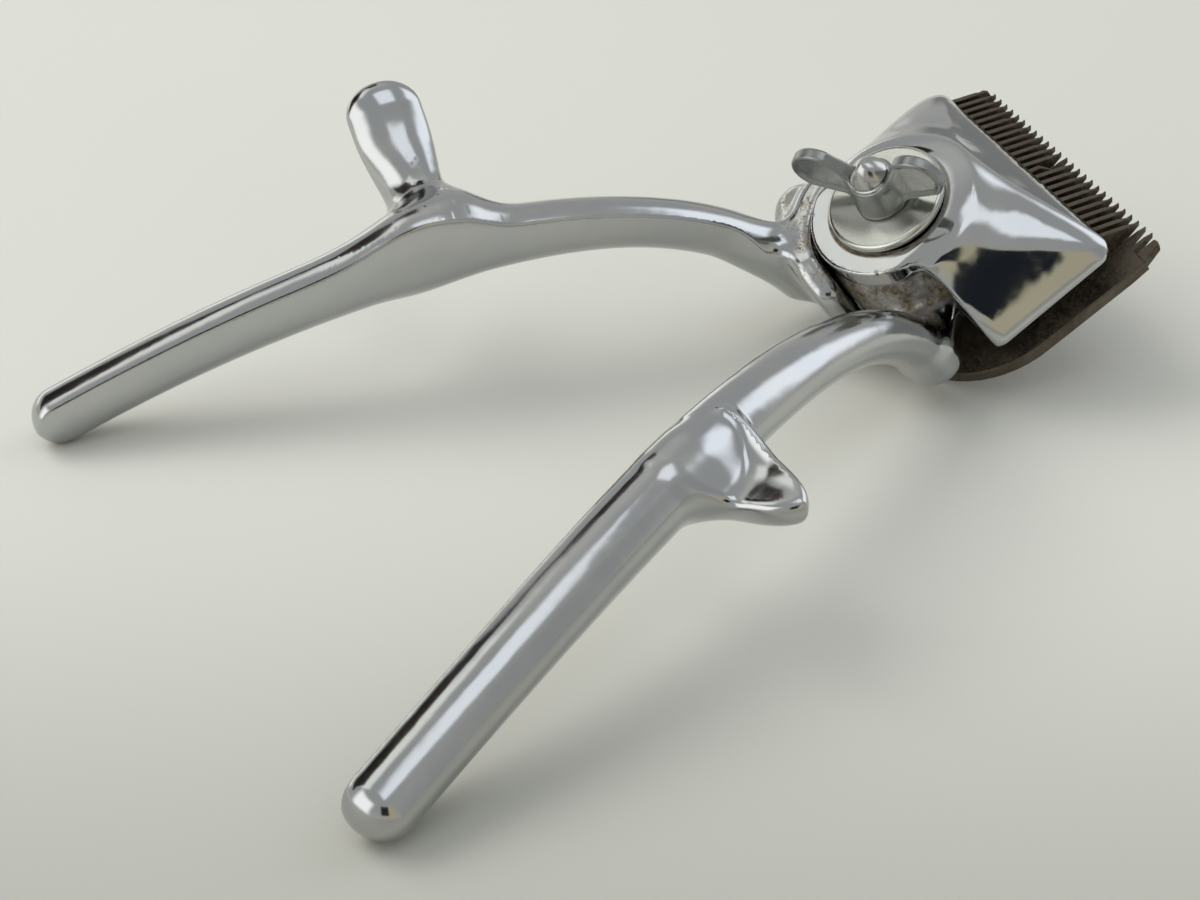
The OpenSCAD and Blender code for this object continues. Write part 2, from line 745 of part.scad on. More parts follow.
module cap_dowel() {
    color("gray") at_rest() translate([key_x, key_y, key_top - key_pin_in])
        cylinder(r = key_pin_r, h = key_pin_in + key_pin_out);
}

module tension_washer() {
    color("lightgray") at_rest() translate([0, 0, cap_top]) difference() {
        union() {
            cylinder(r = washer_r, h = washer_t - washer_bevel);
            translate([0, 0, washer_t - washer_bevel])
                cylinder(r1 = washer_r, r2 = washer_r - washer_bevel, h = washer_bevel);
        }
        translate([0, 0, -over]) cylinder(r = stud_r + run_gap, h = washer_t + 2 * over);
    }
}

module wing_nut() {
    color("darkgray") at_rest() translate([0, 0, nut_z]) difference() {
        union() {
            cylinder(r = nut_r, h = nut_foot_h);
            translate([0, 0, nut_foot_h]) cylinder(r1 = nut_r, r2 = nut_neck_r, h = nut_h - nut_foot_h);
            for (s = [0, 180]) rotate([0, 0, wing_turn + s]) wing();
        }
        translate([0, 0, -over]) cylinder(r = stud_r + run_gap, h = wing_z);
    }
}

// One wing: a thin leaf that rises and leans outward from the nut
module wing() {
    hull() {
        wing_disc(nut_neck_r + 0.3 * wing_root_r, wing_root_z, wing_root_r, wing_t);
        wing_disc(nut_neck_r + 0.5 * wing_root_r, wing_neck_z, wing_neck_r, wing_t);
        wing_disc(wing_span / 2 - wing_r, wing_rise, wing_r, wing_tip_t);
    }
}

module wing_disc(x, z, r, t) {
    translate([x, 0, z]) rotate([90, 0, 0]) cylinder(r = r, h = t, center = true, $fn = 32);
}

thumb_handle();
comb_plate();
comb_screws();
comb_dowels();
pivot_stud();
stop_pin();
spring_post();
lower_washer();
finger_handle();
hub_bush();
drive_pin();
drive_roller();
return_spring();
cutter_plate();
dust_washer();
cap();
cap_dowel();
tension_washer();
wing_nut();
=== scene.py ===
import math

import bpy
import numpy as np
from mathutils import Matrix, Vector


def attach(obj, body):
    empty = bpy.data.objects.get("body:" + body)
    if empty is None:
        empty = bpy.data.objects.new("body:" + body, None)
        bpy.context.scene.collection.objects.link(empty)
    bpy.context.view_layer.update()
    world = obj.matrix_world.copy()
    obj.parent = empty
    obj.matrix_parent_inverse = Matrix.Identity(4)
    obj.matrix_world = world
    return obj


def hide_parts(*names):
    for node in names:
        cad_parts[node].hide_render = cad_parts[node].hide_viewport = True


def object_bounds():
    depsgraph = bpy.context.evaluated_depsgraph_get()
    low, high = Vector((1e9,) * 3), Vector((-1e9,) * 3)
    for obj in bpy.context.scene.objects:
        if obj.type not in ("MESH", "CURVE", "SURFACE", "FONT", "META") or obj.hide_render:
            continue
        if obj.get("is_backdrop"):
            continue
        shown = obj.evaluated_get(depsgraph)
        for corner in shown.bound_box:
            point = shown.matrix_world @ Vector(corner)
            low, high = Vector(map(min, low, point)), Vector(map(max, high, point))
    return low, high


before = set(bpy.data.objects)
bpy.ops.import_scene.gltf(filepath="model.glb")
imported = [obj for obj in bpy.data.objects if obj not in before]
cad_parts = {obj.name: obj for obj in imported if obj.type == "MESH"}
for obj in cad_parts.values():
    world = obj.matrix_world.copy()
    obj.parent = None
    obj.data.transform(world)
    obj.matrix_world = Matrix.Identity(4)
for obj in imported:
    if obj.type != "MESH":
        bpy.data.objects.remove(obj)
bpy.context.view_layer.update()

# ---------------------------------------------------------------------------
# Frames
# Shapes are written in the head's own frame, in millimetres: the comb's sliding face is z = 0,
# the teeth point along +X and the stud stands on the Z axis. The clipper lies pitched and rolled
# on its comb and its handle ends; to_row puts a shape there, in metres.
MM = 1000
PITCH, ROLL = math.radians(38.0676), math.radians(7.30835)
SHIFT = np.array([53.9765, 12.2004, 10.1858])
TURN = Matrix.Rotation(ROLL, 3, "X") @ Matrix.Rotation(-PITCH, 3, "Y")
TO_ROW = np.array([list(row) for row in TURN])
OPEN = math.radians(23.5)  # the finger handle against the thumb handle's mirror image


def to_row(p):
    return (np.asarray(p) @ TO_ROW.T + SHIFT) / MM


def to_finger(p):
    """From the thumb side to the open finger handle's place: a mirror and a turn."""
    c, s = math.cos(OPEN), math.sin(OPEN)
    q = np.asarray(p) * [1, -1, 1]
    return np.stack([q[:, 0] * c - q[:, 1] * s, q[:, 0] * s + q[:, 1] * c, q[:, 2]], 1)


def link(name, data):
    obj = bpy.data.objects.new(name, data)
    bpy.context.collection.objects.link(obj)
    return obj


# ---------------------------------------------------------------------------
# Distance fields: each takes an (n, 3) array of points and returns n distances in mm,
# negative inside. The last argument of join and meet is how wide the blend is.
def unit(v):
    v = np.asarray(v, float)
    return v / np.maximum(np.linalg.norm(v, axis=-1, keepdims=True), 1e-9)


def ramp(a, b, x):
    """0 below a, 1 above b, smooth between."""
    t = np.clip((x - a) / (b - a), 0, 1)
    return t * t * (3 - 2 * t)


def join(a, b, k):
    """Union with a fillet."""
    h = np.maximum(k - np.abs(a - b), 0) / np.maximum(k, 1e-6)
    return np.minimum(a, b) - h * h * k / 4


def meet(a, b, k):
    """Intersection with a rounded edge."""
    return -join(-a, -b, k)


def dot(a, b):
    return (a * b).sum(-1)


def from_axis(p):
    return np.hypot(p[:, 0], p[:, 1])


def layer(p, middle, half):
    """The space within half of a height."""
    return np.abs(p[:, 2] - middle) - half


def ellipsoid(q, r):
    """Near-exact distance to an ellipsoid about the origin; its radii r may vary by point."""
    s = q / r
    k = np.linalg.norm(s, axis=-1)
    g = np.linalg.norm(s / r, axis=-1)
    return k * (k - 1) / np.maximum(g, 1e-6)


def upright(p, c, r, z0, z1, edge):
    """Upright cylinder about c, its rims rounded by edge."""
    d = np.hypot(p[:, 0] - c[0], p[:, 1] - c[1]) - r
    return meet(d, layer(p, (z0 + z1) / 2, (z1 - z0) / 2), edge)


def capsule(p, a, b, ra, rb):
    """Round-ended bar from a to b, its radius running from ra to rb."""
    a, b = np.asarray(a, float), np.asarray(b, float)
    t = np.clip(dot(p - a, b - a) / dot(b - a, b - a), 0, 1)
    return np.linalg.norm(p - a - t[:, None] * (b - a), axis=-1) - (ra + (rb - ra) * t)


class Path:
    """A cubic curve; gives each point its place along it and its offset from it."""
    CHUNK = 40000  # points compared with the curve at once

    def __init__(self, points, count):
        self.c = np.array(points, float)
        self.t = np.linspace(0, 1, count)
        self.at_t = self.at(self.t)
        self.d_t = self.slope(self.t)

    def at(self, t):
        t = np.asarray(t)[:, None]
        c = self.c
        return ((1 - t) ** 3 * c[0] + 3 * t * (1 - t) ** 2 * c[1]
                + 3 * t * t * (1 - t) * c[2] + t ** 3 * c[3])

    def slope(self, t):
        t = np.asarray(t)[:, None]
        c = self.c
        return (3 * (1 - t) ** 2 * (c[1] - c[0]) + 6 * t * (1 - t) * (c[2] - c[1])
                + 3 * t * t * (c[3] - c[2]))

    def place(self, p):
        """Place along the curve (0 to 1), offset from it, and its direction there."""
        t = np.empty(len(p))
        half = (self.at_t ** 2).sum(1) / 2
        for i in range(0, len(p), self.CHUNK):
            q = p[i:i + self.CHUNK]
            k = np.argmin(half[None] - q @ self.at_t.T, axis=1)
            d = self.d_t[k]
            t[i:i + self.CHUNK] = self.t[k] + dot(q - self.at_t[k], d) / dot(d, d)
        t = np.clip(t, 0, 1)
        return t, p - self.at(t), unit(self.slope(t))


# ---------------------------------------------------------------------------
# From a field to a smooth quad mesh: one point in each cell that the surface crosses
BLOCK = 4             # cells across a block of the coarse first pass
HALF_DIAGONAL = 0.87  # of a block, in blocks
MARGIN = 1.8          # cells kept round the surface
SLACK = 1.5           # because the fields are not exact distances
SLOPE_STEP = 0.04     # mm
RELAX, SETTLE = 2, 2  # rounds that even out the points, and rounds that only pull them in
SLIDE = 0.7           # share of the way to the neighbours' mean
LEAST_SLOPE = 0.2     # squared
CORNERS = [np.array([i, j, k]) for i in (0, 1) for j in (0, 1) for k in (0, 1)]


def sample(field, low, high, cell):
    """The field on a grid: its own value near the surface, a block's value elsewhere."""
    blocks = np.ceil((high - low) / (cell * BLOCK)).astype(int) + 1
    axes = [low[i] + cell * BLOCK * np.arange(blocks[i]) for i in range(3)]
    coarse = np.stack(np.meshgrid(*axes, indexing="ij"), -1)
    values = field(coarse.reshape(-1, 3)).reshape(blocks)
    size = (blocks - 1) * BLOCK + 1
    nearest = [np.minimum((np.arange(size[i]) + BLOCK // 2) // BLOCK, blocks[i] - 1) for i in range(3)]
    v = values[np.ix_(*nearest)]
    near_surface = np.abs(v) < cell * (HALF_DIAGONAL * BLOCK + MARGIN) * SLACK
    v[near_surface] = field(low + cell * np.argwhere(near_surface))
    return v


def surface_points(v, low, cell):
    """A point in each crossed cell, at the mean of its edges' crossings, and the cells' numbers."""
    n, inside = v.shape, v < 0
    total = sum(inside[i:n[0] - 1 + i, j:n[1] - 1 + j, k:n[2] - 1 + k].astype(np.int8) for i, j, k in CORNERS)
    crossed = (total > 0) & (total < len(CORNERS))
    cells = np.argwhere(crossed)
    number = np.full(crossed.shape, -1)
    number[crossed] = np.arange(len(cells))
    sums, count = np.zeros((len(cells), 3)), np.zeros(len(cells))
    for a in CORNERS:
        for axis in range(3):
            if a[axis]:
                continue
            b = a.copy()
            b[axis] = 1
            va, vb = v[tuple((cells + a).T)], v[tuple((cells + b).T)]
            hit = (va < 0) != (vb < 0)
            t = np.where(hit, va / np.where(hit, va - vb, 1), 0)
            sums[hit] += (a + t[:, None] * (b - a))[hit]
            count[hit] += 1
    return low + cell * (cells + sums / count[:, None]), number


def surface_quads(v, number):
    """A quad round each grid edge that the surface crosses, facing outward."""
    n, inside = v.shape, v < 0
    quads = []
    for axis in range(3):
        u, w = [k for k in range(3) if k != axis]
        first = [slice(1, n[k] - 1) for k in range(3)]
        first[axis] = slice(0, n[axis] - 1)
        second = list(first)
        second[axis] = slice(1, n[axis])
        starts, ends = inside[tuple(first)], inside[tuple(second)]
        edges = np.argwhere(starts != ends)
        leaving = starts[tuple(edges.T)]
        base = edges + np.array([0 if k == axis else 1 for k in range(3)])
        ring = []
        for du, dw in ((0, 0), (1, 0), (1, 1), (0, 1)):
            c = base.copy()
            c[:, u] -= du
            c[:, w] -= dw
            ring.append(number[tuple(c.T)])
        ring = np.stack(ring, 1)
        swap = leaving if axis == 1 else ~leaving
        ring[swap] = ring[swap][:, ::-1]
        quads.append(ring)
    return np.concatenate(quads)


def gradient(field, p):
    return np.stack([field(p + d) - field(p - d) for d in np.eye(3) * SLOPE_STEP], 1) / (2 * SLOPE_STEP)


def settle(field, verts, quads, cell):
    """Evens the points out along the surface and pulls them onto it."""
    a, b = quads.T.ravel(), np.roll(quads, -1, axis=1).T.ravel()
    count = np.maximum(np.bincount(a, minlength=len(verts)), 1)
    for step in range(RELAX + SETTLE):
        if step < RELAX:
            mean = np.stack([np.bincount(a, verts[b, k], len(verts)) for k in range(3)], 1) / count[:, None]
            normal = unit(gradient(field, verts))
            move = mean - verts
            verts = verts + SLIDE * (move - normal * dot(move, normal)[:, None])
        g = gradient(field, verts)
        fall = field(verts) / np.maximum(dot(g, g), LEAST_SLOPE)
        verts = verts - g * np.clip(fall, -cell, cell)[:, None]
    return verts


def solid(name, field, low, high, cell, mirrored):
    """A Blender object in the row frame from a field in the head frame."""
    low, high = np.array(low, float), np.array(high, float)
    values = sample(field, low, high, cell)
    verts, number = surface_points(values, low, cell)
    quads = surface_quads(values, number)
    verts = settle(field, verts, quads, cell)
    normals = unit(gradient(field, verts))
    if mirrored:
        verts, normals, quads = to_finger(verts), to_finger(normals), quads[:, ::-1]
    mesh = bpy.data.meshes.new(name)
    mesh.from_pydata(to_row(verts), [], quads.tolist())
    mesh.validate()
    mesh.polygons.foreach_set("use_smooth", [True] * len(mesh.polygons))
    mesh.normals_split_custom_set_from_vertices([tuple(x) for x in normals @ TO_ROW.T])
    mesh.update()
    return link(name, mesh)


# ---------------------------------------------------------------------------
# Handles. Both follow one curve and are written on the thumb side; solid() mirrors the finger
# handle and turns it open. Places along the curve run from 0 at the head to 1 at the end.
HANDLE = Path([[-15, 11.5, 7.8], [-20, 14, 36], [-50, 22, 54.51], [-103, 23, 69]], 160)
ROOT_R, TIP_R = 3.6, 3.87             # the round bar at the head, and its round end
GRIP_W, GRIP_H = 4.1, 4.6             # half width and half height of the grip
GRIP_GROWS, GRIP_THINS = (0.28, 0.68), (0.62, 1.0)
OUT_SHIFT, FULL_W, FULL_H = 0.2, 1.2, 1.02  # the section before its inner face is cut, in half sizes
FACE_AT, FACE_ROOM = 0.8, 0.9         # inner face in half widths, and how far beyond it starts
FACE_BOW = 0.02
EDGE_SOFT, EDGE_CRISP = 2.2, 0.35     # lower and upper edge of the inner face
HUMP_AT, HUMP_LONG, THUMB_HUMP = 0.63, 0.065, 3.3


def bar(p, hump=0.0):
    """Bar of a handle: its field, and each point's place along it, across it and up it,
    and its half width there. The hump raises its back under the thumb tang."""
    t, q, d = HANDLE.place(p)
    side = unit(np.cross([0, 0, 1.0], d))
    top = np.cross(d, side)
    a, b, l = dot(q, side), dot(q, top), dot(q, d)
    grow, thin = ramp(*GRIP_GROWS, t), ramp(*GRIP_THINS, t)
    w = ROOT_R + (GRIP_W - ROOT_R) * grow
    w = w + (TIP_R - w) * thin
    h = ROOT_R + (GRIP_H - ROOT_R) * grow
    h = h + (TIP_R - h) * thin
    b = b - hump * np.exp(-((t - HUMP_AT) / HUMP_LONG) ** 2) * ramp(-2.5, 3.5, b)
    r = np.stack([w * FULL_W, h * FULL_H, np.full(len(p), TIP_R)], 1)
    return ellipsoid(np.stack([a - OUT_SHIFT * w, b, l], 1), r), t, a, b, w


def flatten(f, t, a, b, w, starts):
    """Flat inner face along a bar, with a crisp upper edge and a soft lower one."""
    cut = w * (FACE_AT + FACE_ROOM * (1 - ramp(*starts, t)))
    edge = EDGE_SOFT + (EDGE_CRISP - EDGE_SOFT) * ramp(-1.0, 1.5, b)
    return meet(f, a - cut + FACE_BOW * b * b, edge)


THUMB_AT, THUMB_CLEAR, THUMB_LONG = 0.61, 2.5, 20.2
THUMB_FOOT, THUMB_NECK, THUMB_PAD = 7.0, 2.5, 0.9       # half width, less at the neck, more again
THUMB_DEEP, THUMB_THIN, THUMB_DISH, THUMB_END = 3.2, 1.0, 0.4, 4.4
THUMB_TWIST = np.radians(34)
THUMB_ALONG = unit(HANDLE.slope([THUMB_AT])[0])
THUMB_OUT = unit([0.28, 0.9, 0.36])
THUMB_ROOT = HANDLE.at([THUMB_AT])[0] + THUMB_CLEAR * THUMB_OUT
THUMB = Path([THUMB_ROOT, THUMB_ROOT + 8 * unit(THUMB_OUT - [0.1, 0, 0.27]),
              THUMB_ROOT + 14 * unit(THUMB_OUT - [0.05, 0, 0.1]), THUMB_ROOT + THUMB_LONG * THUMB_OUT], 60)


def thumb_tang(p):
    """Paddle for the thumb: it leaves the bar wide, narrows to a neck, and ends in a dished pad."""
    t, q, d = THUMB.place(p)
    wide = unit(THUMB_ALONG - d * dot(d, THUMB_ALONG)[:, None])
    face = -np.cross(d, wide)
    twist = THUMB_TWIST * (1 - ramp(0.25, 0.75, t))
    c, s = np.cos(twist), np.sin(twist)
    wide, face = wide * c[:, None] + face * s[:, None], face * c[:, None] - wide * s[:, None]
    a, b, l = dot(q, wide), dot(q, face), dot(q, d)
    w = THUMB_FOOT - THUMB_NECK * ramp(0.0, 0.36, t) + THUMB_PAD * ramp(0.36, 0.85, t)
    h = THUMB_DEEP - THUMB_THIN * ramp(0.1, 0.9, t)
    dish = THUMB_DISH * ramp(0.15, 0.6, t)
    x = np.clip(np.abs(a) / w, 0, 1)
    r = np.stack([w, h, np.full(len(p), THUMB_END)], 1)
    return ellipsoid(np.stack([a, b + dish * (1 - x * x) - 0.4 * dish, l], 1), r)


BASE_HALF = 1.5                          # half the thickness of the plate on the comb
BASE_Y, BASE_X, BASE_R = 12.8, 6.6, 14.5
WELL_R = 12.35                           # room for the hub
WALL_R, WALL_HALF = 14.35, 2.0
WALL_TOP, WALL_DROP = 17.3, 2.6
WALL_FROM, WALL_TO = np.radians(101.5), np.radians(192)
EAR, EAR_R, EAR_TOP = (-9, 15.2), 4.6, 11.4
BOSS, BOSS_R, BOSS_TOP, ARM_R = (3.5, 14.9), 1.9, 7.2, 2.2
CASTING_BORE_R = 2.82
FAR = 20.0


def cup_wall(p):
    """Wall round part of the hub's well; it drops towards its far end."""
    rad, ang = from_axis(p), np.arctan2(p[:, 1], p[:, 0])
    full = ang % (2 * np.pi)
    rise = WALL_TOP - WALL_DROP * ramp(165, 192, np.degrees(full))
    wall = meet(np.abs(rad - WALL_R) - WALL_HALF, np.maximum(p[:, 2] - rise, -p[:, 2]), 1.6)
    ends = np.maximum(rad * np.sin(WALL_FROM - ang), rad * np.sin(full - WALL_TO))
    return meet(wall, np.where(np.abs(ang) < 1.2, FAR, ends), 2.4)


def thumb_casting(p):
    """Fixed casting: handle, tang, cup wall, ear, and the plate on the comb."""
    rad, z = from_axis(p), p[:, 2]
    f, t, a, b, w = bar(p, THUMB_HUMP)
    f = join(f, thumb_tang(p), 6.5)
    f = flatten(f, t, a, b, w, (0.05, 0.2))
    f = join(f, cup_wall(p), 5.0)
    dome = np.linalg.norm(p - [*EAR, EAR_TOP], axis=1) - EAR_R
    f = join(f, np.minimum(upright(p, EAR, EAR_R, 0, EAR_TOP, 0.4), dome), 2.2)
    base = meet(np.maximum(np.abs(p[:, 1]) - BASE_Y, p[:, 0] - BASE_X), rad - BASE_R, 0.3)
    f = join(f, meet(base, layer(p, BASE_HALF, BASE_HALF), 0.4), 0.8)
    # the arm and boss that hold the cap's dowel
    arm = capsule(p * [1, 1, 0], (BOSS[0], 12, 0), (*BOSS, 0), ARM_R, ARM_R)
    arm = np.maximum(arm, layer(p, BASE_HALF, BASE_HALF))
    f = np.minimum(f, np.minimum(arm, upright(p, BOSS, BOSS_R, 0, BOSS_TOP, 0.3)))
    well = np.maximum(rad - WELL_R, 2 * BASE_HALF - z)
    f = meet(f, -well, 0.5)
    f = np.maximum(f, CASTING_BORE_R - rad)
    return np.maximum(f, -z)


FINGER_AT = 0.6
FINGER_ALONG = unit(HANDLE.slope([FINGER_AT])[0])
FINGER_OUT = unit([-0.27, 0.96, 0])
FINGER_OUT = unit(FINGER_OUT - FINGER_ALONG * dot(FINGER_OUT, FINGER_ALONG))
FINGER_UP = np.cross(FINGER_OUT, FINGER_ALONG)
FINGER_ROOT = HANDLE.at([FINGER_AT])[0]
FINGER_LONG, FINGER_BOW = 15.8, 0.06
FINGER_W, FINGER_NARROW = 5.2, 2.5      # half width at the root, less at the end
CREST, CREST_RISE = 1.8, 2.7            # height of the crest, and how much higher at the root
HOLLOW, HOLLOW_MORE, HOLLOW_LESS, HOLLOW_FADE = 2.5, 0.6, 2.2, 2.4


def finger_tang(p):
    """Hook across the bar: a crest along its front edge, hollow behind the crest."""
    q = p - FINGER_ROOT
    a, b, l = dot(q, FINGER_ALONG), dot(q, FINGER_UP), dot(q, FINGER_OUT)
    t = ramp(2.0, 15.0, l)
    wide = FINGER_W - FINGER_NARROW * t
    a = a - 0.6 - 1.0 * t
    outline = meet(0.95 * (np.abs(a) - wide), l - FINGER_LONG + FINGER_BOW * a * a, 5.0)
    crest = CREST + CREST_RISE * (1 - ramp(0.0, 9.0, l))
    behind = np.maximum(a + wide - 1.1, 0)
    hollow = HOLLOW + HOLLOW_MORE * ramp(1.0, 6.0, l) - HOLLOW_LESS * t
    hollow = hollow * (1 - np.exp(-behind / HOLLOW_FADE))
    top = 0.85 * (b - crest + hollow)
    low = -(b + 5.3 - 1.4 * t)
    f = meet(meet(outline, low, 4.0), top, 1.2)
    return meet(f, -0.8 - l, 2.0)


HUB_R, HUB_LOW, HUB_HIGH = 12, 3.53, 15.23
WEB_FROM, WEB_TO, WEB_R, WEB_Z, WEB_HALF = (-5, 4, 0), (-15, 11.5, 0), 6.5, 7.6, 2.8
TAIL_TURN, TAIL_Z, TAIL_HALF = math.radians(14.5), 5.18, 1.45
TAIL_FROM, TAIL_TO, TAIL_R, TAIL_END_R = 6, 14, 5, 2.1
BUSH_R = 4.4
SPRING_R, SPRING_HALF, SPRING_TOP = 7.6, 2.2, 10.43


def finger_casting(p):
    """Moving casting: handle, hook, web, hub, and the tail that drives the cutter."""
    rad, z = from_axis(p), p[:, 2]
    flat = p * [1, 1, 0]
    f, t, a, b, w = bar(p)
    behind = dot(p - FINGER_ROOT, FINGER_ALONG)
    f = join(f, finger_tang(p), 0.9 + 3.4 * ramp(-3.5, 3.5, behind))
    f = flatten(f, t, a, b, w, (0.3, 0.5))
    web = capsule(flat, WEB_FROM, WEB_TO, WEB_R, ROOT_R)
    f = join(f, meet(web, layer(p, WEB_Z, WEB_HALF), 2.0), 2.5)
    f = np.maximum(f, HUB_R - 0.5 - rad)  # nothing but the hub inside its own radius
    f = join(f, upright(p, (0, 0), HUB_R, HUB_LOW, HUB_HIGH, 5.0), 1.2)
    c, s = math.cos(TAIL_TURN), math.sin(TAIL_TURN)
    tail = capsule(flat, (TAIL_FROM * c, TAIL_FROM * s, 0), (TAIL_TO * c, TAIL_TO * s, 0), TAIL_R, TAIL_END_R)
    f = np.minimum(f, np.maximum(tail, layer(p, TAIL_Z, TAIL_HALF)))
    f = np.maximum(f, BUSH_R - rad)
    spring_room = np.maximum(np.abs(rad - SPRING_R) - SPRING_HALF, z - SPRING_TOP)
    return np.maximum(f, -spring_room)


# ---------------------------------------------------------------------------
# Cap, washer, stud and wing nut, all on the stud's axis
BORE_R = 2.85
LIP_Z, HOOD_TALL, HOOD_CURVE = 6.15, 10.9, 1.28
HOOD_X, HOOD_Y, LIP_R, LIP_GROWS = 8.0, 19.1, 2.7, 9.1
HOOD_T, HOOD_CUT, HOOD_BACK = 1.5, 4.95, -2
HOOD_ROOF, HOOD_CEILING = 16.6, 14.6
PLATEAU_R, PLATEAU_TOP, CROWN_Z, CROWN_HALF = 11.8, 19.06, 17.46, 1.6
HUB_ROOM_TOP, SEAT_R, SEAT_TOP = 15.4, 11.6, 15.86  # recesses under the cap: hub, dust washer


def hood(p, inset=0.0):
    """Hood from a four-sided rounded lip up to a round crown; its flanks bulge near the lip."""
    x, y, z = p[:, 0], p[:, 1], p[:, 2]
    s = np.clip((z - LIP_Z) / HOOD_TALL, 1e-4, 1.05) ** HOOD_CURVE
    r = LIP_R + LIP_GROWS * s - inset
    hx, hy = HOOD_X * (1 - s), HOOD_Y * (1 - s)
    qx, qy = np.abs(x - hx) - hx, np.abs(y) - hy
    d = np.hypot(np.maximum(qx, 0), np.maximum(qy, 0)) + np.minimum(np.maximum(qx, qy), 0) - r
    return 0.78 * d


def cap_field(p):
    """Cap: a hollow hood with a round plateau, recessed for the hub and the dust washer."""
    rad, z = from_axis(p), p[:, 2]
    front = ramp(-5, 6, p[:, 0] + 0.25 * np.abs(p[:, 1]))
    f = meet(hood(p), z - HOOD_ROOF, 0.3)
    f = meet(f, HOOD_CUT - z, 0.5)
    f = meet(f, HOOD_BACK - p[:, 0], 0.5)
    f = meet(f, -np.maximum(hood(p, HOOD_T), z - HOOD_CEILING), 0.3)
    # the plateau, sharp behind and melting into the hood in front
    crown = meet(rad - PLATEAU_R + 1.5 * front, layer(p, CROWN_Z, CROWN_HALF), 0.4 + 2.6 * front)
    f = join(f, crown, 0.8 + 6.0 * front)
    f = meet(f, z - PLATEAU_TOP, 0.2 + 3.0 * front)
    f = np.maximum(f, -np.maximum(rad - WELL_R, z - HUB_ROOM_TOP))
    f = np.maximum(f, -np.maximum(rad - SEAT_R, z - SEAT_TOP))
    return np.maximum(f, BORE_R - rad)


WASHER_R, WASHER_TOP = 8.6, 20.46


def washer_field(p):
    """Plain disc under the wing nut."""
    disc = upright(p, (0, 0), WASHER_R, PLATEAU_TOP, WASHER_TOP, 0.7)
    return np.maximum(disc, BORE_R - from_axis(p))


STUD_R, STUD_HEAD_R, STUD_HEAD_T = 2.8, 4.6, 1.6
COLLAR_R, COLLAR_LOW, COLLAR_HIGH = 2.95, 24.9, 25.75
KNOB_R, KNOB_TAPER, KNOB_LOW, KNOB_TOP = 2.75, 0.55, 25.7, 28.85
GROOVE_R, GROOVE_Z, GROOVE_DEEP = 2.85, 25.85, 0.16


def stud_field(p):
    """Stud: head under the comb, shank, collar, grooved and tapered end with a dome."""
    rad, z = from_axis(p), p[:, 2]
    f = np.minimum(upright(p, (0, 0), STUD_R, 0, 25.2, 0.3),
                   upright(p, (0, 0), STUD_HEAD_R, 0, STUD_HEAD_T, 0.2))
    f = np.minimum(f, upright(p, (0, 0), COLLAR_R, COLLAR_LOW, COLLAR_HIGH, 0.3))
    taper = KNOB_R - KNOB_TAPER * ramp(KNOB_LOW, 28.9, z)
    dome = meet(0.97 * (rad - taper), z - KNOB_TOP, 3.4)
    f = np.minimum(f, np.maximum(dome, 25.5 - z))
    groove = np.hypot(rad - GROOVE_R, z - GROOVE_Z) - GROOVE_DEEP
    return meet(f, -groove, 0.15)


NUT_Z, NUT_HALF, NUT_R, NUT_TAPER = 20.49, 2.45, 4.05, 0.75
WING_TURN = math.radians(-56)
WING_ROOT, WING_ROOT_R = (2.8, 0, 2.3), 1.8
WING_END, WING_END_R = (7.7, 0, 6.0), 3.9
WING_T = 0.55  # half thickness at the rim


def nut_field(p):
    """Tapered barrel with two flat round wings that thicken at their roots."""
    z = p[:, 2] - NUT_Z
    rad = from_axis(p)
    side = NUT_R - NUT_TAPER * ramp(0.0, 4.6, z)
    f = meet(0.96 * (rad - side), np.abs(z - NUT_HALF) - NUT_HALF, 0.5)
    c, s = math.cos(WING_TURN), math.sin(WING_TURN)
    u = np.abs(p[:, 0] * c + p[:, 1] * s)
    v = -p[:, 0] * s + p[:, 1] * c
    leaf = np.stack([u, np.zeros(len(p)), z], 1)
    leaf = capsule(leaf, WING_ROOT, WING_END, WING_ROOT_R, WING_END_R)
    thick = WING_T + 0.4 * ramp(1.3, 0.3, -leaf) + 0.4 * ramp(5.5, 2.5, u)
    wing = meet(leaf, np.abs(v) - thick, 0.5)
    f = join(f, np.maximum(wing, 2.0 - u), 1.1)
    return np.maximum(f, BORE_R - rad)


CASTINGS = [
    # piece, field, low and high corner, cell (mm), mirrored, body, CAD node, slot
    ("thumb_handle_casting", thumb_casting, (-109, -4, -1.5), (8, 44, 76), 0.42, False,
     "clipper_body", "thumb_handle", "chrome"),
    ("finger_handle_casting", finger_casting, (-109, -14, 2), (18, 42, 76), 0.42, True,
     "finger_handle", "finger_handle", "chrome"),
    ("cap_shell", cap_field, (-13, -23, 4), (20, 23, 20.5), 0.3, False,
     "clipper_body", "cap", "chrome"),
    ("washer_disc", washer_field, (-9.5, -9.5, 18.5), (9.5, 9.5, 21), 0.2, False,
     "clipper_body", "tension_washer", "nickel"),
    ("stud_bolt", stud_field, (-5.5, -5.5, -1), (5.5, 5.5, 30), 0.16, False,
     "clipper_body", "pivot_stud", "chrome"),
    ("wing_nut_casting", nut_field, (-8, -11.5, 19.5), (8, 11.5, 32), 0.17, False,
     "wing_nut", "wing_nut", "nickel"),
]


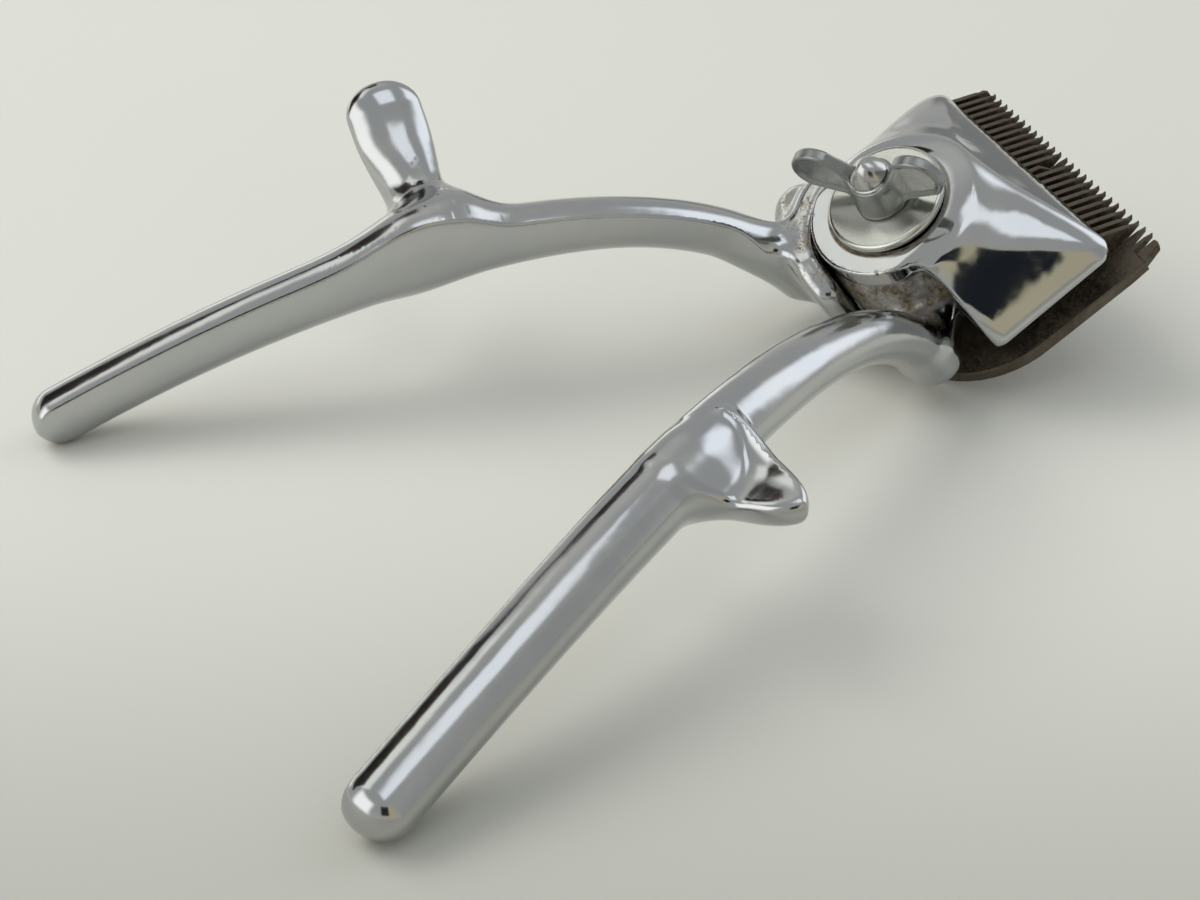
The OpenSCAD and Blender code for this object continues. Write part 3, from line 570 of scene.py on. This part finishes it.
# ---------------------------------------------------------------------------
# Comb and cutter
class Plates:
    """Collects closed prisms in the head frame for one object."""
    EDGE = 0.00004  # m, bevel on the plates' edges

    def __init__(self):
        self.verts, self.faces = [], []

    def rings(self, rings):
        """A solid through rings of points, closed at both ends."""
        k, m = len(self.verts), len(rings[0])
        for ring in rings:
            self.verts += [tuple(v) for v in ring]
        for j in range(k, k + (len(rings) - 1) * m, m):
            self.faces += [(j + i, j + (i + 1) % m, j + m + (i + 1) % m, j + m + i) for i in range(m)]
        self.faces.append(tuple(k + m - 1 - i for i in range(m)))
        self.faces.append(tuple(k + (len(rings) - 1) * m + i for i in range(m)))

    def slab(self, outline, levels):
        """An outline at several heights; levels are (z, inset towards the middle)."""
        o = np.array(outline, float)
        mid = o.mean(0)
        self.rings([[(*(q + unit(mid - q) * inset), z) for q in o] for z, inset in levels])

    def tooth(self, y, stations, bevel):
        """A tooth through stations (x, width, low, top), its two upper edges bevelled."""
        rings = []
        for x, w, low, top in stations:
            c = min(bevel, 0.2 * w)
            rings.append([(x, y + w / 2, low), (x, y + w / 2, top - c), (x, y + w / 2 - c, top),
                          (x, y - w / 2 + c, top), (x, y - w / 2, top - c), (x, y - w / 2, low)])
        self.rings(rings)

    def build(self, name):
        mesh = bpy.data.meshes.new(name)
        mesh.from_pydata(to_row(np.array(self.verts)), [], self.faces)
        mesh.validate()
        obj = link(name, mesh)
        m = obj.modifiers.new("edges", "BEVEL")
        m.width, m.segments, m.limit_method, m.angle_limit = self.EDGE, 2, "ANGLE", math.radians(40)
        m.harden_normals = True
        return obj


def arc(cx, cy, r, a0, a1, n):
    angles = [math.radians(a0 + (a1 - a0) * k / n) for k in range(n + 1)]
    return [(cx + r * math.cos(a), cy + r * math.sin(a)) for a in angles]


TEETH, TOOTH_STEP = 26, 40 / 26
HEEL_X, HEEL_Y, HEEL_R = 4, 6, 16      # the comb's rounded back corners
COMB_LEVELS = [(-2.4, 0.55), (-2.05, 0.0), (-0.25, 0.0), (0.0, 0.25)]
GUARD_LEVELS = [(-1.5, 0.15), (-1.2, 0.0), (-0.2, 0.0), (0.0, 0.2)]
COMB_ROOT, COMB_TIP = 21.2, 24.98
COMB_W, COMB_TIP_W, COMB_LOW, COMB_TOP, COMB_POINT = 0.86, 0.3, -1.55, -0.02, -0.3

comb = Plates()
outline = [(21.4, -22.3), (18.4, -22.4), (HEEL_X, -22)]
outline += arc(HEEL_X, -HEEL_Y, HEEL_R, -90, -180, 14)[1:] + arc(HEEL_X, HEEL_Y, HEEL_R, 180, 90, 14)
outline += [(18.4, 22.4), (21.4, 22.3)]
comb.slab(outline[::-1], COMB_LEVELS)
for i in range(TEETH):
    comb.tooth((i - (TEETH - 1) / 2) * TOOTH_STEP, [
        (COMB_ROOT, COMB_W, COMB_LOW, COMB_TOP),
        (COMB_TIP - 1.3, COMB_W - 0.35 * (COMB_W - COMB_TIP_W), 0.6 * COMB_LOW, COMB_TOP),
        (COMB_TIP - 0.3, COMB_TIP_W, 0.55 * COMB_LOW, COMB_TOP - 0.12),
        (COMB_TIP, 0.2 * COMB_TIP_W, COMB_POINT, COMB_POINT + 0.25)], 0.1)
GUARD = [(21.2, 20.45), (21.2, 22.35), (24.25, 21.5), (24.6, 20.9), (24.5, 20.3), (22.0, 20.2)]
for side in (-1, 1):
    guard = [(x, side * y) for x, y in GUARD]
    comb.slab(guard[::side], GUARD_LEVELS)

CUTTER_TEETH, CUTTER_SIDE = 25, 2.19  # the open handle holds the cutter this far to +Y
CUTTER_LOW, CUTTER_TIP = 0.06, 24.35
BROKEN, BROKEN_TIP = 11, 22.3
HALF = CUTTER_TEETH * TOOTH_STEP / 2

cut = Plates()
body = [(7.62, -HALF + 5), (12.6, -HALF), (17.6, -HALF), (17.6, HALF), (12.6, HALF), (7.62, HALF - 5)]
cut.slab([(x, y + CUTTER_SIDE) for x, y in body], [(CUTTER_LOW, 0.0), (2.45, 0.0), (2.65, 0.25)])
rim = [(17.1, -HALF), (18.6, -HALF), (18.6, HALF), (17.1, HALF)]
cut.slab([(x, y + CUTTER_SIDE) for x, y in rim], [(CUTTER_LOW, 0.0), (4.6, 0.0), (4.9, 0.3)])
for i in range(CUTTER_TEETH):
    tip = BROKEN_TIP if i == BROKEN else CUTTER_TIP - 0.12 * math.sin(i * 2.4)
    slope_end = max(4.9 - 0.7 * (tip - 1.6 - 18.5), 0.6)
    cut.tooth((i - 12) * TOOTH_STEP + TOOTH_STEP, [
        (18.3, 0.80, CUTTER_LOW, 4.86), (19.2, 0.78, CUTTER_LOW, 4.05),
        (tip - 1.6, 0.72, CUTTER_LOW, slope_end),
        (tip - 0.2, 0.22, CUTTER_LOW, 0.95), (tip, 0.08, CUTTER_LOW, 0.6)], 0.09)

# ---------------------------------------------------------------------------
# Pieces, in the order they are listed
MADE = {}
for plates, name, body, node in ((comb, "comb_blade", "clipper_body", "comb_plate"),
                                 (cut, "cutter_blade", "cutter", "cutter_plate")):
    piece = plates.build(name)
    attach(piece, body)
    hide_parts(node)
    MADE[name] = piece
for name, field, low, high, cell, mirrored, body, node, slot in CASTINGS:
    piece = solid(name, field, low, high, cell, mirrored)
    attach(piece, body)
    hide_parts(node)
    MADE[name] = piece

# ---------------------------------------------------------------------------
# Camera
EYE = (-0.0994, -0.1831, 0.1464)
optics = bpy.data.cameras.new("camera")
optics.sensor_width, optics.lens = 36, 56.62
optics.clip_start, optics.clip_end = 0.01, 50
forward = Vector((0.3701, 0.7319, -0.5721)).normalized()
upward = Vector((0.8995, -0.4364, 0.0237)).normalized().cross(forward).normalized()
right = forward.cross(upward).normalized()
camera = link("camera", optics)
camera.matrix_world = (Matrix.Translation(EYE)
                       @ Matrix((right, upward, -forward)).transposed().to_4x4())
bpy.context.scene.camera = camera


# ---------------------------------------------------------------------------
# Materials
class Nodes:
    """Short way to write a node tree. A value is a number, a tuple or another node's socket."""

    def __init__(self, tree):
        self.tree = tree
        tree.nodes.clear()

    def new(self, kind, **inputs):
        n = self.tree.nodes.new(kind)
        for key, value in inputs.items():
            self.put(n, key, value)
        return n

    def put(self, node, key, value):
        if hasattr(value, "is_linked"):
            self.tree.links.new(value, node.inputs[key])
        else:
            node.inputs[key].default_value = value

    def math(self, op, a, b=0.0, clamp=False):
        n = self.tree.nodes.new("ShaderNodeMath")
        n.operation, n.use_clamp = op, clamp
        self.put(n, 0, a)
        self.put(n, 1, b)
        return n.outputs[0]

    def add(self, a, b, clamp=False):
        return self.math("ADD", a, b, clamp)

    def times(self, a, b, clamp=False):
        return self.math("MULTIPLY", a, b, clamp)

    def gap(self, a, b):
        return self.math("ABSOLUTE", self.math("SUBTRACT", a, b))

    def length(self, x, y):
        return self.math("SQRT", self.add(self.times(x, x), self.times(y, y)))

    def vec(self, op, a, b=(0, 0, 0), scale=None):
        n = self.tree.nodes.new("ShaderNodeVectorMath")
        n.operation = op
        self.put(n, 0, a)
        self.put(n, 1, b)
        if scale is not None:
            self.put(n, "Scale", scale)
        return n.outputs["Value"] if op in ("DOT_PRODUCT", "DISTANCE") else n.outputs["Vector"]

    def ramp(self, x, a, b, lo=0.0, hi=1.0):
        """lo below a, hi above b, smooth between."""
        n = self.tree.nodes.new("ShaderNodeMapRange")
        n.interpolation_type = "SMOOTHSTEP"
        for key, v in (("Value", x), ("From Min", a), ("From Max", b), ("To Min", lo), ("To Max", hi)):
            self.put(n, key, v)
        return n.outputs[0]

    def mix(self, t, a, b):
        """Colour a where t is 0, b where it is 1."""
        n = self.tree.nodes.new("ShaderNodeMix")
        n.data_type = "RGBA"
        self.put(n, 0, t)
        for i, v in ((6, a), (7, b)):
            self.put(n, i, v if hasattr(v, "is_linked") else (*v, 1))
        return n.outputs[2]

    def noise(self, where, scale, detail=3.0, rough=0.5, distort=0.0):
        return self.new("ShaderNodeTexNoise", Vector=where, Scale=scale, Detail=detail,
                        Roughness=rough, Distortion=distort).outputs["Fac"]

    def cells(self, where, scale):
        return self.new("ShaderNodeTexVoronoi", Vector=where, Scale=scale).outputs["Distance"]

    def bump(self, shader, height, distance, strength):
        b = self.new("ShaderNodeBump", Height=height, Strength=strength, Distance=distance)
        self.put(shader, "Normal", b.outputs[0])


def material(name):
    m = bpy.data.materials.new(name)
    m.use_nodes = True
    n = Nodes(m.node_tree)
    out = n.new("ShaderNodeOutputMaterial")
    shader = n.new("ShaderNodeBsdfPrincipled")
    n.put(out, "Surface", shader.outputs[0])
    # object coordinates in millimetres: every piece's origin is the row's origin
    where = n.vec("SCALE", n.new("ShaderNodeTexCoord").outputs["Object"], scale=float(MM))
    return m, n, shader, where


def head_axes(n, where):
    """Coordinates in the head frame from those in the row frame."""
    at = n.vec("SUBTRACT", where, tuple(SHIFT))
    return [n.vec("DOT_PRODUCT", at, tuple(TO_ROW[:, k])) for k in range(3)]


# Where the dirt lies, and where the hub is darkened as painted shade: each takes the row coordinates and the
# head coordinates
SEAM = [((-11.4, 14.4, 15.4), 6.0), ((-8.6, 12.0, 17.3), 4.0), ((-10.9, 8.6, 17.6), 4.5),
        ((-12.0, 4.8, 17.2), 4.5), ((-13.2, 1.2, 16.2), 4.5)]  # places in the head frame, reach


def seam_dirt(n, where, x, y, z):
    """Old grease and rust in the corner between the ear, the cup and the handle."""
    spots = None
    for place, reach in SEAM:
        away = n.vec("DISTANCE", where, tuple(to_row(place) * MM))
        spot = n.ramp(away, 0.0, reach, 1, 0)
        spots = spot if spots is None else n.math("MAXIMUM", spots, spot)
    patchy = n.times(n.ramp(n.noise(where, 0.45, 4, 0.7), 0.42, 0.60),
                     n.ramp(n.noise(where, 2.4, 4, 0.8), 0.44, 0.62))
    return n.times(n.times(spots, patchy), 1.5, clamp=True)


def ring_dirt(n, where, x, y, z):
    """Dirt round the foot of the washer and along the plateau's rim."""
    rad = n.length(x, y)
    foot = n.ramp(n.gap(rad, 8.75), 0.10, 0.42, 1, 0)
    rim = n.ramp(n.gap(rad, 11.7), 0.1, 0.8, 1, 0)
    rim = n.times(rim, n.ramp(n.noise(where, 0.6, 5, 0.75), 0.50, 0.66))
    return n.times(n.math("MAXIMUM", foot, rim), n.ramp(z, 18.0, 18.8))


def hub_oil_and_shade(n, where, x, y, z):
    """Painted shade on the hub under the cap, with oil and dirt: darkened all over there, and more in
    patches.
    """
    under = n.times(n.ramp(n.length(x, y), 12.6, 15.5, 1, 0), n.ramp(z, 3.0, 5.0))
    return n.times(under, n.ramp(n.noise(where, 0.35, 5, 0.7), 0.36, 0.62, 0.35, 1.0))


def chrome(name, dirt_and_shade_at, soft=0.0, rust=(0.20, 0.15, 0.08)):
    """Old chrome: hazy, finely streaked, slightly wavy, pitted, and darkened where the given mask says: by
    dirt, and on the hub under the cap also by painted shade.
    """
    m, n, shader, where = material(name)
    pits = n.times(n.ramp(n.cells(where, 0.55), 0.035, 0.075, 1, 0),
                   n.ramp(n.noise(where, 1.9, 3), 0.66, 0.76))
    haze = n.ramp(n.noise(where, 0.09, 4, 0.6), 0.35, 0.75)
    streak = n.noise(n.vec("MULTIPLY", where, (0.25, 1.6, 1.6)), 1.1, 4, 0.65)
    fine = n.noise(n.vec("MULTIPLY", where, (0.5, 3.0, 3.0)), 3.0, 3, 0.6)
    rough = n.add(n.ramp(haze, 0, 1, 0.045 + soft, 0.12 + soft), n.ramp(streak, 0.5, 0.8, 0.0, 0.06))
    bare = n.mix(haze, (0.47, 0.48, 0.485), (0.51, 0.51, 0.50))
    # pits and the given mask darken and dull the colour; on the hub under the cap this darkening is partly
    # painted shade
    dirt_and_shade = n.math("MAXIMUM", pits, dirt_and_shade_at(n, where, *head_axes(n, where)))
    stain_and_shade = n.mix(n.ramp(n.noise(where, 1.3, 4, 0.7), 0.4, 0.62), (0.06, 0.045, 0.03), rust)
    n.put(shader, "Base Color", n.mix(dirt_and_shade, bare, stain_and_shade))
    n.put(shader, "Metallic", n.ramp(dirt_and_shade, 0.25, 0.9, 1.0, 0.15))
    n.put(shader, "Roughness", n.add(rough, n.times(dirt_and_shade, 0.5), clamp=True))
    height = n.add(n.noise(where, 0.16, 2, 0.5), n.times(fine, 0.006))
    n.bump(shader, n.math("SUBTRACT", height, n.times(dirt_and_shade, 0.012)), 0.0002, 0.5)
    return m


def stained_steel(name):
    """Dark tool steel under brown stains and rust spots."""
    m, n, shader, where = material(name)
    big = n.noise(where, 0.22, 5, 0.65, 0.4)
    small = n.noise(where, 1.5, 5, 0.7)
    spots = n.ramp(n.cells(where, 1.1), 0.12, 0.35, 1, 0)
    rust = n.ramp(n.add(n.times(big, 0.6), n.times(small, 0.5)), 0.42, 0.72)
    rust = n.math("MAXIMUM", rust, n.times(spots, n.ramp(small, 0.45, 0.65)))
    bare = n.mix(small, (0.085, 0.072, 0.055), (0.19, 0.165, 0.13))
    brown = n.mix(n.noise(where, 3.1, 4, 0.7), (0.022, 0.015, 0.010), (0.085, 0.052, 0.024))
    n.put(shader, "Base Color", n.mix(rust, bare, brown))
    n.put(shader, "Metallic", n.ramp(rust, 0.2, 0.9, 0.9, 0.2))
    n.put(shader, "Roughness", n.ramp(rust, 0, 1, 0.34, 0.72))
    n.bump(shader, n.add(n.times(rust, 0.5), n.times(small, 0.5)), 0.00012, 0.8)
    return m


def nickel(name, tint, rough):
    """Clouded plating or turned metal with small dark pits."""
    m, n, shader, where = material(name)
    cloud = n.noise(where, 0.35, 5, 0.65)
    fine = n.noise(where, 4.0, 4, 0.7)
    pits = n.times(n.ramp(n.cells(where, 1.6), 0.04, 0.14, 1, 0), n.ramp(cloud, 0.4, 0.6))
    pits = n.ramp(pits, 0, 1)
    low, high = tuple(v * 0.86 for v in tint), tuple(min(1, v * 1.12) for v in tint)
    n.put(shader, "Base Color", n.mix(pits, n.mix(cloud, low, high), (0.07, 0.06, 0.045)))
    n.put(shader, "Metallic", n.ramp(pits, 0.2, 0.9, 1.0, 0.3))
    sheen = n.ramp(cloud, 0.3, 0.7, rough * 0.8, rough * 1.3)
    n.put(shader, "Roughness", n.add(sheen, n.times(pits, 0.4), clamp=True))
    n.bump(shader, n.math("SUBTRACT", n.times(fine, 0.4), pits), 0.00005, 0.7)
    return m


def dress(obj, look):
    obj.data.materials.clear()
    obj.data.materials.append(look)


steel = stained_steel("stained_steel")
machined = nickel("turned_steel", (0.36, 0.35, 0.34), 0.3)
brass = nickel("turned_brass", (0.66, 0.46, 0.20), 0.3)
LOOK = {
    "thumb_handle_casting": chrome("chrome_casting_dirty", seam_dirt, 0.07, (0.34, 0.21, 0.06)),
    # the finger casting's darkening under the cap is painted shade as well as oil and dirt
    "finger_handle_casting": chrome("chrome_casting_oil_and_shade", hub_oil_and_shade, 0.07),
    "cap_shell": chrome("chrome_cap", ring_dirt),
    "washer_disc": nickel("worn_nickel", (0.56, 0.56, 0.52), 0.17),
    "stud_bolt": nickel("stud_nickel", (0.48, 0.48, 0.47), 0.14),
    "wing_nut_casting": nickel("dull_nickel", (0.30, 0.31, 0.30), 0.30),
    "comb_blade": steel, "cutter_blade": steel, "lower_washer": brass, "hub_bush": brass,
}
for name, piece in [*MADE.items(), *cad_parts.items()]:
    dress(piece, LOOK.get(name, machined))

# ---------------------------------------------------------------------------
# Floor: pale, with painted shade that darkens it towards the viewer
FLOOR_HALF = 4  # m
mesh = bpy.data.meshes.new("floor")
mesh.from_pydata([(x * FLOOR_HALF, y * FLOOR_HALF, 0) for x, y in ((-1, -1), (1, -1), (1, 1), (-1, 1))],
                 [], [(0, 1, 2, 3)])
floor = link("floor", mesh)
floor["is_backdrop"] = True
paint, n, shader, where = material("floor_paint")
pale = n.mix(n.noise(where, 0.006, 3, 0.5), (0.63, 0.63, 0.58), (0.67, 0.67, 0.62))
# painted shade: the base colour falls to a darker tone towards the viewer, standing in for the light's
# falloff
shade = n.ramp(n.vec("DOT_PRODUCT", where, (0.45, 0.89, 0)), -95, -5)
n.put(shader, "Base Color", n.mix(shade, (0.455, 0.455, 0.41), pale))
n.put(shader, "Roughness", 0.6)
n.put(shader, "Specular IOR Level", 0.3)
dress(floor, paint)

# ---------------------------------------------------------------------------
# Room: soft light and dark patches that the metal reflects
world = bpy.data.worlds.new("room")
bpy.context.scene.world = world
world.use_nodes = True
n = Nodes(world.node_tree)
look = n.new("ShaderNodeTexCoord").outputs["Generated"]


def toward(azimuth, elevation):
    a, e = math.radians(azimuth), math.radians(elevation)
    return Vector((math.cos(e) * math.cos(a), math.cos(e) * math.sin(a), math.sin(e)))


def patch(azimuth, elevation, half_w, half_h, edge):
    """1 inside an upright rectangle of the room about a direction (half sizes as sines), 0 outside."""
    c = toward(azimuth, elevation)
    across = c.cross(Vector((0, 0, 1))).normalized()
    up = across.cross(c)
    front = n.ramp(n.vec("DOT_PRODUCT", look, tuple(c)), 0.0, 0.1)
    a = n.math("ABSOLUTE", n.vec("DOT_PRODUCT", look, tuple(across)))
    b = n.math("ABSOLUTE", n.vec("DOT_PRODUCT", look, tuple(up)))
    inside = n.times(n.ramp(a, half_w - edge, half_w + edge, 1, 0),
                     n.ramp(b, half_h - edge, half_h + edge, 1, 0))
    return n.times(inside, front)


WALLS = [
    # azimuth, elevation, half width, half height, edge, colour
    (-85, 80, 0.225, 0.26, 0.045, (1.35, 1.42, 1.50)),
    (3, 32, 0.27, 0.36, 0.10, (1.50, 1.57, 1.68)),
    (86, 57, 0.22, 0.22, 0.16, (0.66, 0.67, 0.65)),
    (46, 5, 0.24, 0.11, 0.05, (0.28, 0.285, 0.28)),
    (-52, 20, 0.22, 0.50, 0.10, (0.44, 0.45, 0.45)),
    (-97, 20, 0.28, 0.38, 0.10, (0.62, 0.57, 0.41)),
    (98, 2, 0.45, 0.15, 0.08, (1.45, 1.46, 1.38)),
    (178, 24, 0.40, 0.32, 0.10, (1.70, 1.72, 1.68)),
    (128, 50, 0.20, 0.18, 0.08, (1.25, 1.27, 1.20)),
    (-112, 28, 0.19, 0.24, 0.03, (0.018, 0.022, 0.028)),
]
height = n.vec("DOT_PRODUCT", look, (0, 0, 1))
room = n.mix(n.ramp(height, 0.0, 0.5), (0.58, 0.58, 0.55), (0.50, 0.51, 0.51))
for azimuth, elevation, half_w, half_h, edge, colour in WALLS:
    room = n.mix(patch(azimuth, elevation, half_w, half_h, edge), room, colour)
back = n.new("ShaderNodeBackground", Color=room, Strength=1.0)
n.new("ShaderNodeOutputWorld", Surface=back.outputs[0])

# A dark thing stands behind the clipper and is seen only in the metal
CARD_Y = 0.30  # m
CARD = [(-46, 13), (-13, 13), (-12, 24), (1.5, 24), (1.5, 39), (-7, 39), (-9, 29), (-13, 30),
        (-32, 45), (-38, 45), (-40, 24), (-46, 19)]  # x and z in cm
mesh = bpy.data.meshes.new("dark_card")
mesh.from_pydata([(x / 100, CARD_Y, z / 100) for x, z in CARD], [], [tuple(range(len(CARD)))])
card = link("dark_card", mesh)
card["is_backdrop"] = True
card.visible_camera = card.visible_diffuse = card.visible_shadow = False
cloth, n, shader, where = material("dark_cloth")
folds = n.noise(n.vec("MULTIPLY", where, (1.0, 1.0, 0.35)), 0.02, 4, 0.6)
n.put(shader, "Base Color", n.mix(n.ramp(folds, 0.45, 0.62), (0.012, 0.013, 0.014), (0.11, 0.05, 0.03)))
n.put(shader, "Roughness", 0.9)
dress(card, cloth)

# One broad lamp gives the soft shadows and isn't mirrored in the metal
LAMP_AT, LAMP_WATTS, LAMP_SIZE = (-0.62, 0.62, 1.0), 9, 0.9
key = bpy.data.lights.new("key", "AREA")
key.energy, key.size, key.color = LAMP_WATTS, LAMP_SIZE, (1.0, 0.98, 0.95)
lamp = link("key", key)
lamp.location = LAMP_AT
lamp.visible_glossy = False
lamp.rotation_euler = (-Vector(lamp.location)).to_track_quat("-Z", "Y").to_euler()

bpy.context.scene.view_settings.view_transform = "Standard"
low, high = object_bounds()
